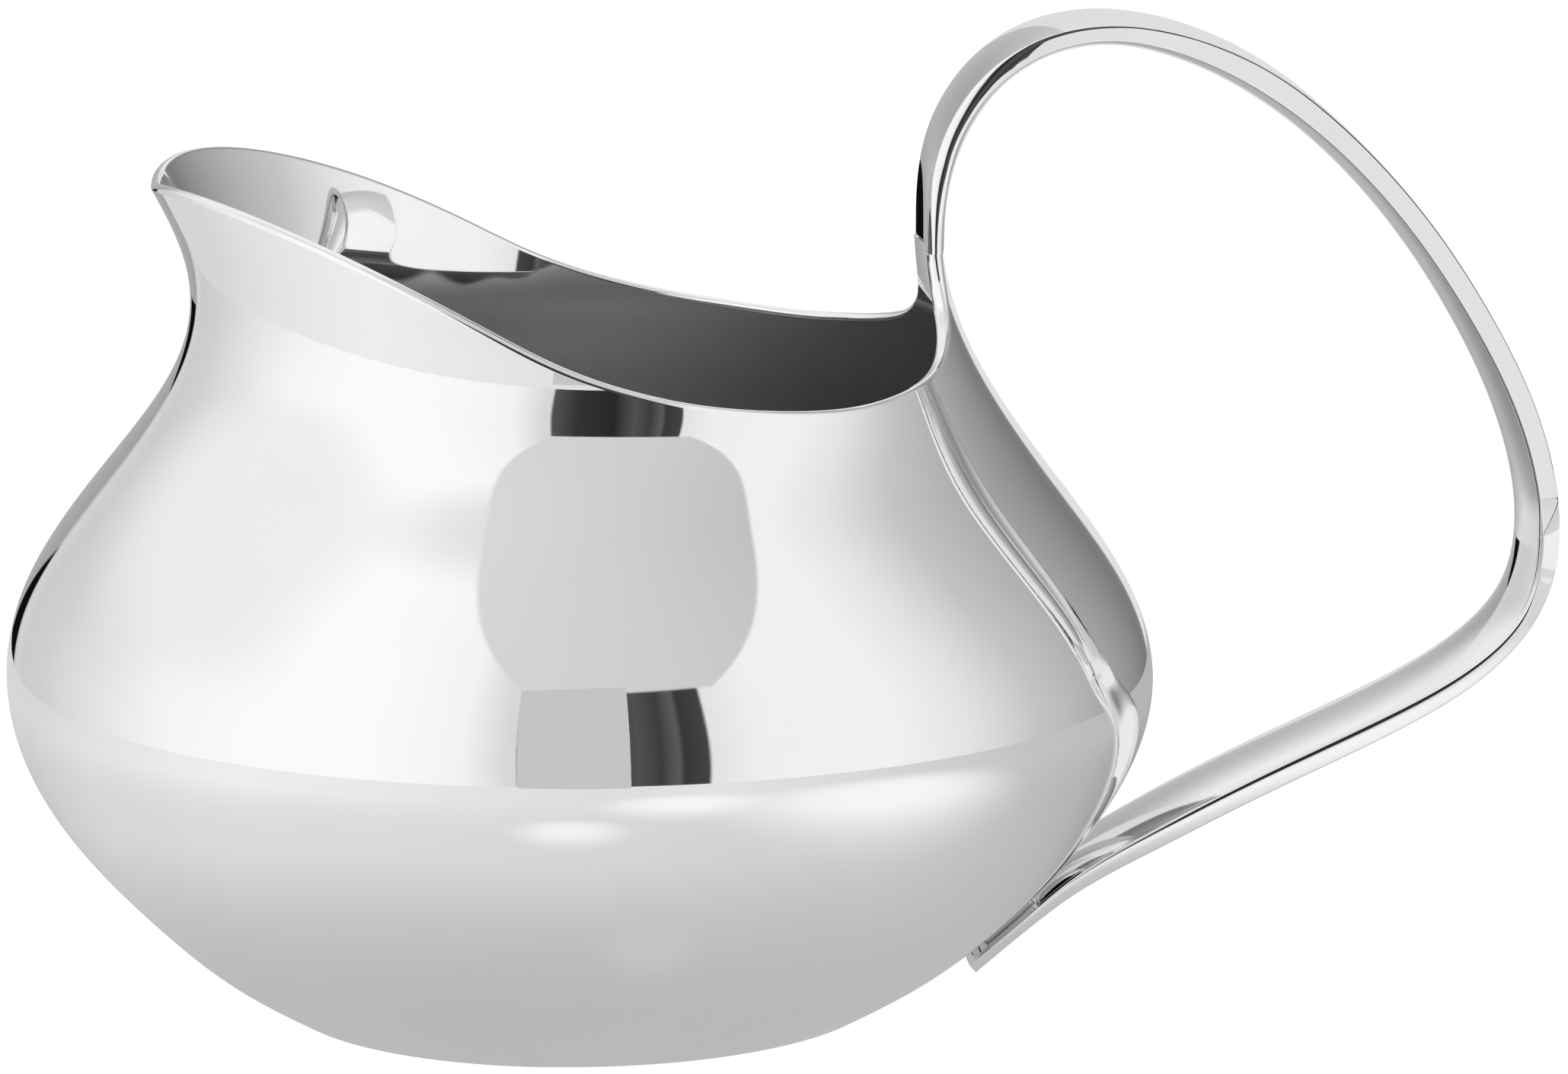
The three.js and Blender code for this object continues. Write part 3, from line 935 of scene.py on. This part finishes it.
def make_table():
    """The round table top that only the polished metal reflects: a glowing disc with painted shade, a
    painted shadow under the jug and painted highlights.
    """
    radius, height = TABLE_RADIUS * MM, 0.1 * MM
    turns = np.linspace(0, 2 * math.pi, 96, endpoint=False)
    edge = [(radius * math.cos(turn), radius * math.sin(turn), height) for turn in turns]
    table = sheet("studio_table", edge)
    show_in_reflections_only(table)
    tree, glow = glow_on(table, "table_painted_light")
    place = node(tree, "ShaderNodeTexCoord").outputs["Object"]
    studio = Studio(tree, place)
    length = node(tree, "ShaderNodeVectorMath", operation="LENGTH")
    tree.links.new(place, length.inputs[0])
    distance = studio.math("DIVIDE", length.outputs["Value"], MM)
    near, far = studio.ramp(studio.azimuth, TABLE_NEAR), studio.ramp(studio.azimuth, TABLE_FAR)
    # painted shade: greyer near the jug, and a painted shadow right under it
    light = studio.mix(studio.step(distance, 95, 70), near, far)
    light = studio.mix(studio.step(distance, 45, 35), TABLE_PAINTED_SHADOW, light)
    # painted highlights on the table's glow
    for x, y, size, blur, grey in TABLE_PAINTED_HIGHLIGHTS:
        light = studio.mix(studio.spot(place, x, y, size, blur), light, grey)
    tree.links.new(light, glow.inputs["Color"])


def make_card():
    """A small pale card just in front of the belly, seen only as a reflection there."""
    left, right, y = -9.9 * MM, 4.1 * MM, -56.5 * MM
    bottom, top = 25.5 * MM, 46.2 * MM
    corners = [(left, y, bottom), (right, y, bottom), (right, y, top), (left, y, top)]
    card = sheet("reflector_card", corners)
    show_in_reflections_only(card)
    _, glow = glow_on(card, "pale_card")
    glow.inputs["Color"].default_value = grey_light(CARD_GREY)


def make_light(name, place):
    """A soft box aimed at the jug, without a mirror image in the metal."""
    data = bpy.data.lights.new(name, "AREA")
    data.shape = "RECTANGLE"
    data.size, data.size_y = SOFT_BOX, SOFT_BOX
    data.energy = SOFT_BOX_POWER
    lamp = bpy.data.objects.new(name, data)
    bpy.context.scene.collection.objects.link(lamp)
    aim(lamp, place, (0, 0, 0))
    lamp.visible_glossy = False


def aim(thing, place, target):
    back_axis = unit(np.array(place, float) - np.array(target, float))
    right = unit(np.cross([0, 0, 1.0], back_axis))
    up = np.cross(back_axis, right)
    matrix = np.eye(4)
    matrix[:3, 0], matrix[:3, 1], matrix[:3, 2], matrix[:3, 3] = right, up, back_axis, place
    thing.matrix_world = Matrix(matrix.tolist())


def make_camera():
    level = math.cos(CAMERA_ELEVATION)
    back_axis = np.array([math.sin(CAMERA_AZIMUTH) * level, -math.cos(CAMERA_AZIMUTH) * level,
                          math.sin(CAMERA_ELEVATION)])
    data = bpy.data.cameras.new("camera")
    data.sensor_width = 36
    data.lens = CAMERA_DISTANCE / VIEW_WIDTH * data.sensor_width
    camera = bpy.data.objects.new("camera", data)
    bpy.context.scene.collection.objects.link(camera)
    aim(camera, CAMERA_TARGET + back_axis * CAMERA_DISTANCE, CAMERA_TARGET)
    bpy.context.scene.camera = camera


bpy.context.scene.view_settings.view_transform = "Standard"
make_world()
make_floor()
make_table()
make_card()
make_light("left_soft_box", (-0.6, -0.5, 0.7))
make_light("right_soft_box", (0.7, -0.4, 0.7))
make_camera()
